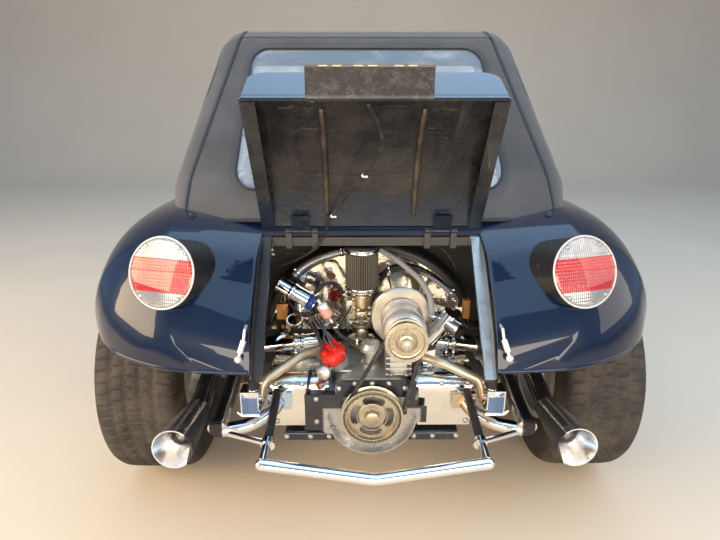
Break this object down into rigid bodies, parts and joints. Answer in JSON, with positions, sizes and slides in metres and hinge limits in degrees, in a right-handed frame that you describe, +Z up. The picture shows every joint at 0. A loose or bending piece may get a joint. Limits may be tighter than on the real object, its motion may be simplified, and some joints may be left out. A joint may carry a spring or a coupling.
{
  "type": "open two-seat dune buggy",
  "caption": "Open buggy with a moulded body, folding cloth top, free wheels, steering and a raised engine lid over an air-cooled rear engine.",
  "frame": {"origin": "on the ground plane under the middle of the car's length, on its centre plane", "axes": "+X to the car's right, +Y forwards, +Z up"},
  "size_m": [1.569, 3.3155, 1.4299],
  "materials": {
    "navy_body": "gloss navy moulded body",
    "tub_black": "moulded tub, textured",
    "pan_black": "chassis black",
    "dash_black": "grained",
    "frame_black": "satin black",
    "clear_glass": "clear flat glass",
    "top_cloth": "dark blue grey canvas",
    "clear_vinyl": "clear flexible sheet",
    "bow_steel": "plain tube",
    "seat_black": "black trim",
    "wheel_black": "steering wheel rim",
    "control_steel": "controls",
    "lid_navy": "gloss navy, raw moulding inside",
    "bay_navy": "navy rails with bright hooks",
    "cable_black": "black flex",
    "lamp_body": "lamp housings",
    "lens_red": "clear and red lens",
    "lamp_chrome": "lamp bowls",
    "bumper_chrome": "bumper tubes",
    "axle_black": "front axle",
    "rod_steel": "track rod",
    "cast_alloy": "cast cases",
    "arm_black": "spring plates and dampers",
    "knuckle_iron": "knuckles and drums",
    "road_tyre": "dusty tread",
    "rim_alloy": "cast wheel",
    "tin_navy": "breast plates and pulley guard",
    "tin_chrome": "bright tins",
    "alternator_alloy": "alternator body",
    "pulley_cream": "painted pulley",
    "pulley_chrome": "small pulley",
    "belt_rubber": "fan belt",
    "carb_brass": "aged carburettor",
    "filter_black": "pleated filter",
    "pipe_bare": "bare warm pipe",
    "coil_bright": "coil can",
    "cap_red": "cap on a grey body",
    "lead_black": "plug leads",
    "hose_cloth": "braided and plain hoses",
    "filler_bright": "filler can",
    "pipe_chrome": "exhaust"
  },
  "bodies": {
    "chassis": {"body_shell": "navy_body", "front_hood": "navy_body", "inner_tub": "tub_black", "floor_pan": "pan_black", "dashboard": "dash_black", "windscreen_frame": "frame_black", "windscreen_glass": "clear_glass", "soft_top": "top_cloth", "vinyl_windows": "clear_vinyl", "top_bows": "bow_steel", "seats": "seat_black", "driver_controls": "control_steel", "bay_frame": "bay_navy", "tail_lamps": "lamp_body", "tail_lamp_lenses": "lens_red", "front_lamps": "lamp_chrome", "front_bumper": "bumper_chrome", "front_axle_beam": "axle_black", "transaxle": "cast_alloy", "rear_suspension": "arm_black", "engine_case": "cast_alloy", "cylinder_tins": "tin_chrome", "fan_shroud": "tin_chrome", "alternator": "alternator_alloy", "fan_belt": "belt_rubber", "carburettor": "carb_brass", "air_filter": "filter_black", "heat_pipes": "pipe_bare", "ignition_coil": "coil_bright", "distributor": "cap_red", "oil_filler": "filler_bright", "engine_tins": "tin_navy", "plug_leads": "lead_black", "engine_hoses": "hose_cloth", "exhaust": "pipe_chrome", "rear_bumper": "bumper_chrome"},
    "lid": {"engine_lid": "lid_navy", "lamp_cable": "cable_black"},
    "crank": {"crank_pulley": "pulley_cream"},
    "alternator_rotor": {"alternator_pulley": "pulley_chrome"},
    "steering": {"steering_wheel": "wheel_black"},
    "steer_link": {"track_rod": "rod_steel"},
    "hub_left": {"knuckle_left": "knuckle_iron"},
    "hub_right": {"knuckle_right": "knuckle_iron"},
    "front_wheel_left": {"front_rim_left": "rim_alloy", "front_tyre_left": "road_tyre"},
    "front_wheel_right": {"front_rim_right": "rim_alloy", "front_tyre_right": "road_tyre"},
    "rear_wheel_left": {"rear_rim_left": "rim_alloy", "rear_tyre_left": "road_tyre"},
    "rear_wheel_right": {"rear_rim_right": "rim_alloy", "rear_tyre_right": "road_tyre"}
  },
  "joints": [
    {"name": "lid_hinge", "type": "hinge", "parent": "chassis", "child": "lid", "pos_m": [0, -1.202, 0.844], "axis": [1, 0, 0], "range_deg": [0, 105.6], "deforming": ["lamp_cable"]},
    {"name": "crank_turn", "type": "hinge", "parent": "chassis", "child": "crank", "pos_m": [0, -1.382, 0.38], "axis": [0, 1, 0], "continuous": true},
    {"name": "alternator_turn", "type": "hinge", "parent": "chassis", "child": "alternator_rotor", "pos_m": [0.086, -1.382, 0.6], "axis": [0, 1, 0], "continuous": true},
    {"name": "steer_left", "type": "hinge", "parent": "chassis", "child": "hub_left", "pos_m": [-0.566, 1.058, 0.308], "axis": [0, 0, 1], "range_deg": [-34, 34]},
    {"name": "steer_right", "type": "hinge", "parent": "chassis", "child": "hub_right", "pos_m": [0.566, 1.058, 0.308], "axis": [0, 0, 1], "range_deg": [-34, 34]},
    {"name": "steering_turn", "type": "hinge", "parent": "chassis", "child": "steering", "pos_m": [-0.3, -0.082, 0.8], "axis": [0, 0.8829, -0.4695], "range_deg": [-450, 450]},
    {"name": "track_slide", "type": "slide", "parent": "chassis", "child": "steer_link", "axis": [1, 0, 0], "range_m": [-0.0625, 0.0625]},
    {"name": "front_spin_left", "type": "hinge", "parent": "hub_left", "child": "front_wheel_left", "pos_m": [-0.652, 1.058, 0.308], "axis": [1, 0, 0], "continuous": true},
    {"name": "rear_spin_left", "type": "hinge", "parent": "chassis", "child": "rear_wheel_left", "pos_m": [-0.667, -0.982, 0.34], "axis": [1, 0, 0], "continuous": true},
    {"name": "front_spin_right", "type": "hinge", "parent": "hub_right", "child": "front_wheel_right", "pos_m": [0.652, 1.058, 0.308], "axis": [1, 0, 0], "continuous": true},
    {"name": "rear_spin_right", "type": "hinge", "parent": "chassis", "child": "rear_wheel_right", "pos_m": [0.667, -0.982, 0.34], "axis": [1, 0, 0], "continuous": true}
  ],
  "couplings": [
    {"joint": "alternator_turn", "follows": "crank_turn", "ratio": 1.6207},
    {"joint": "steer_right", "follows": "steer_left", "ratio": 1},
    {"joint": "steering_turn", "follows": "steer_left", "ratio": -13},
    {"joint": "track_slide", "follows": "steer_left", "m_per_rad": 0.1037}
  ]
}
